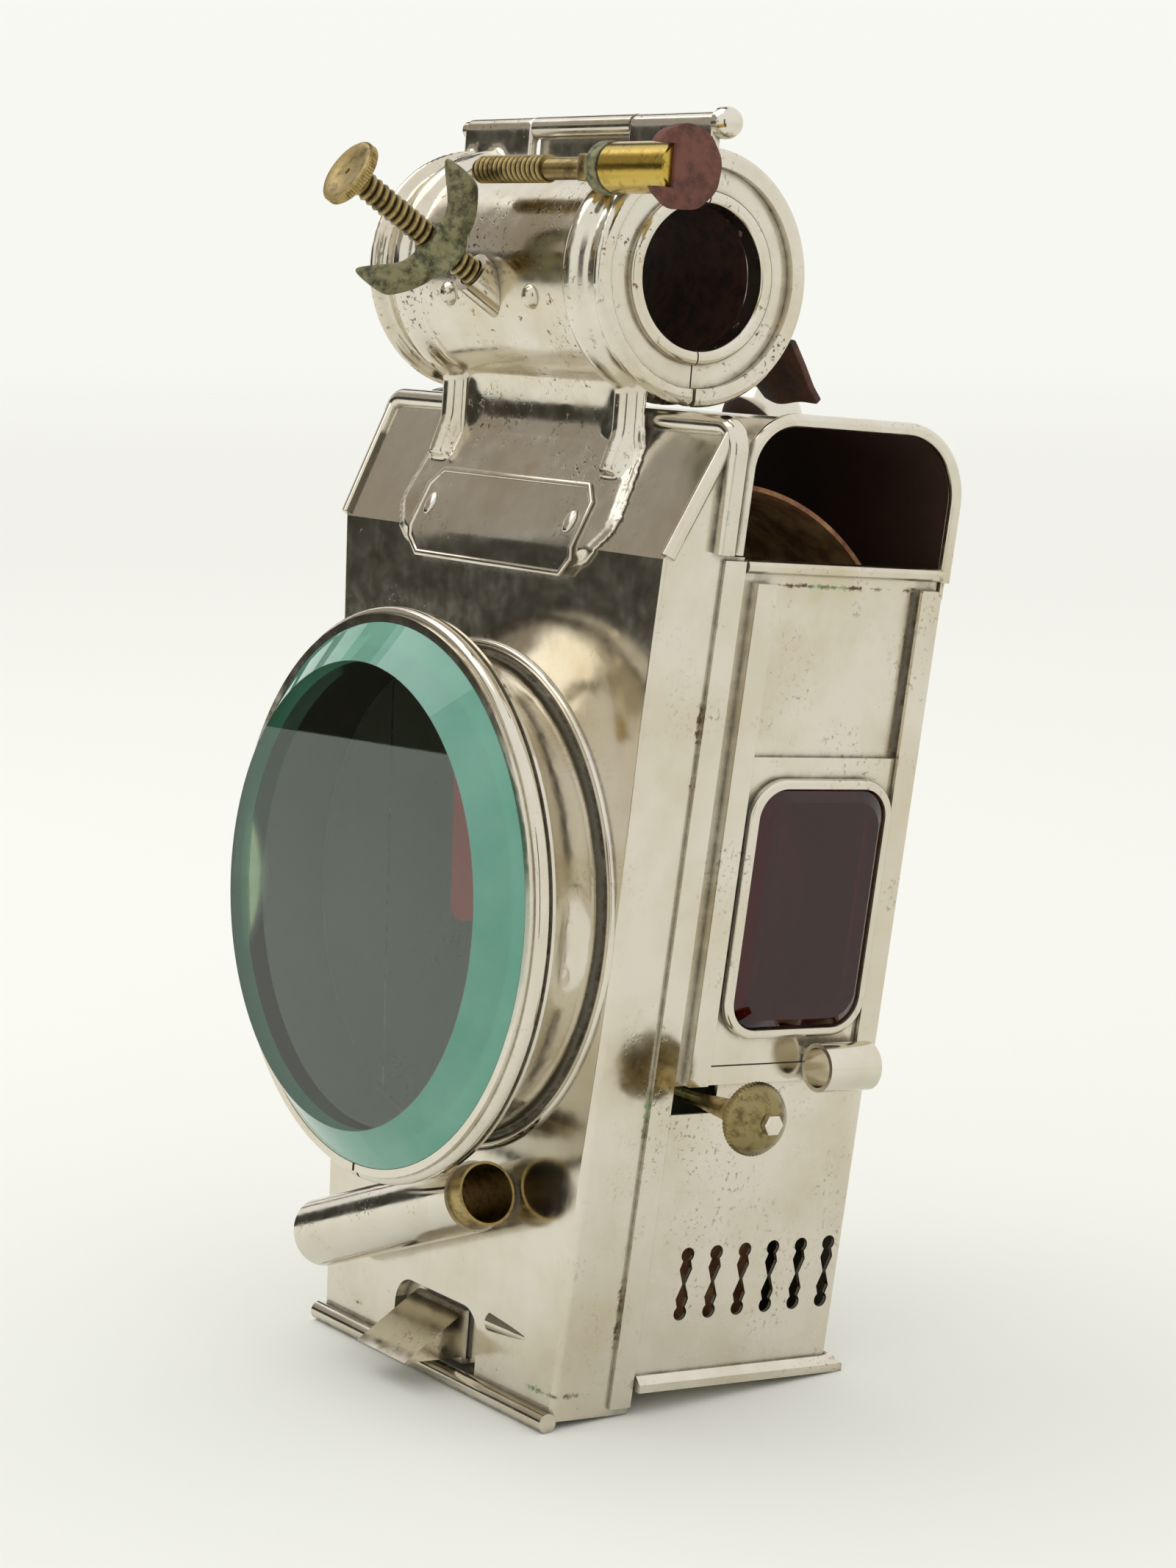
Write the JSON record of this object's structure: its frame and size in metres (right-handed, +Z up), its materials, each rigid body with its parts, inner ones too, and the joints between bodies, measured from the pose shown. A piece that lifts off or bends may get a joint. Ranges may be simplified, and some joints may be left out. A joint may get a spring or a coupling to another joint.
{
  "type": "bicycle hub oil lamp",
  "caption": "Nickel-plated oil lamp for a high-wheel bicycle's hub, with a bevelled front lens, red side windows on slides, an arched hood and a hinged hub clamp.",
  "frame": {"origin": "middle of the underside of the lamp's bounding box; the lamp stands on its front bead and the base's rear edge", "axes": "+X across the lamp along the hub's axis, towards the side with the wick winder, +Y back from the lens, +Z up"},
  "size_m": [0.12, 0.1002, 0.2216],
  "materials": {
    "nickel_plate": "worn nickel plating, hazed and pitted, with rust and verdigris along the seams",
    "brass": "worn and darkened brass",
    "oxidised_brass": "brass turned grey-green",
    "clear_glass": "polished, bevelled, slightly green",
    "ruby_glass": "polished ruby glass",
    "leather": "dry brown leather",
    "rusty_tinplate": "sooted and rusted tinplate",
    "cotton_wick": "flat woven cotton",
    "silvered_reflector": "silvered, tarnished at the rim"
  },
  "bodies": {
    "lamp_front": {"front_shell": "nickel_plate", "side_bands": "nickel_plate", "lens_collar": "nickel_plate", "lens_bezel": "nickel_plate", "lens_glass": "clear_glass", "lens_clip_ring": "oxidised_brass", "cross_tube": "nickel_plate", "tube_liner": "brass", "nameplate": "nickel_plate", "hub_bracket": "nickel_plate", "front_end_rings": "nickel_plate", "front_liner": "leather", "hinge_pin": "nickel_plate", "screw_boss": "nickel_plate", "barrel_rivets": "nickel_plate", "stop_lug": "nickel_plate", "case_hinge_front": "nickel_plate", "case_hinge_pin": "nickel_plate"},
    "clamp_rear": {"rear_barrel_half": "nickel_plate", "rear_end_rings": "nickel_plate", "rear_liner": "leather", "leather_flap": "leather"},
    "thumb_screw": {"thumb_screw": "nickel_plate"},
    "wing_nut": {"wing_nut": "oxidised_brass"},
    "stop_screw": {"stop_screw": "nickel_plate", "stop_sleeve": "brass", "stop_washer": "leather"},
    "catch": {"catch_tongue": "nickel_plate"},
    "case": {"case_hinge_rear": "nickel_plate", "case_body": "nickel_plate", "base_plate": "nickel_plate", "hood": "nickel_plate", "inner_cowl": "rusty_tinplate", "hood_knob": "nickel_plate", "slide_rails_right": "nickel_plate", "slide_rails_left": "nickel_plate", "oil_font": "rusty_tinplate", "filler_cap": "brass", "burner": "brass", "reflector": "silvered_reflector"},
    "slide_right": {"slide_plate_right": "nickel_plate", "window_frame_right": "nickel_plate", "window_glass_right": "ruby_glass", "finger_tube_right": "nickel_plate"},
    "slide_left": {"slide_plate_left": "nickel_plate", "window_frame_left": "nickel_plate", "window_glass_left": "ruby_glass", "finger_tube_left": "nickel_plate"},
    "wick_winder": {"winder_shaft": "brass", "winder_knob": "brass", "knob_rivet": "nickel_plate"},
    "wick": {"wick": "cotton_wick"}
  },
  "joints": [
    {"name": "clamp_hinge", "type": "hinge", "parent": "lamp_front", "child": "clamp_rear", "pos_m": [-0.00431, 0.00528, 0.21889], "axis": [1, 0, 0], "range_deg": [0, 110]},
    {"name": "case_hinge", "type": "hinge", "parent": "lamp_front", "child": "case", "pos_m": [-0.04546, -0.01313, 0.00427], "axis": [-0.0888, 0.0951, 0.9915], "range_deg": [0, 90]},
    {"name": "slide_right_lift", "type": "slide", "parent": "case", "child": "slide_right", "axis": [0.0888, 0.0951, 0.9915], "range_m": [0, 0.0285]},
    {"name": "slide_left_lift", "type": "slide", "parent": "case", "child": "slide_left", "axis": [-0.0888, 0.0951, 0.9915], "range_m": [0, 0.0285]},
    {"name": "wick_winder_turn", "type": "hinge", "parent": "case", "child": "wick_winder", "pos_m": [-0.00431, -0.0022, 0.05506], "axis": [1, 0, 0], "range_deg": [-90, 90]},
    {"name": "wick_rise", "type": "slide", "parent": "case", "child": "wick", "axis": [0, 0.0955, 0.9954], "range_m": [-0.0041, 0.0041]},
    {"name": "thumb_screw_turn", "type": "hinge", "parent": "lamp_front", "child": "thumb_screw", "pos_m": [-0.00431, -0.01586, 0.19129], "axis": [0, -0.8194, 0.5733], "continuous": true},
    {"name": "wing_nut_turn", "type": "hinge", "parent": "thumb_screw", "child": "wing_nut", "pos_m": [-0.00431, -0.01586, 0.19129], "axis": [0, -0.8194, 0.5733], "continuous": true},
    {"name": "stop_screw_turn", "type": "hinge", "parent": "lamp_front", "child": "stop_screw", "pos_m": [-0.00431, -0.01482, 0.21148], "axis": [1, 0, 0], "continuous": true},
    {"name": "catch_press", "type": "hinge", "parent": "lamp_front", "child": "catch", "pos_m": [-0.00431, -0.02693, 0.01303], "axis": [1, 0, 0], "range_deg": [0, 3], "stiffness_Nm_per_rad": 0.05}
  ],
  "couplings": [
    {"joint": "wick_rise", "follows": "wick_winder_turn", "m_per_rad": 0.0026}
  ]
}
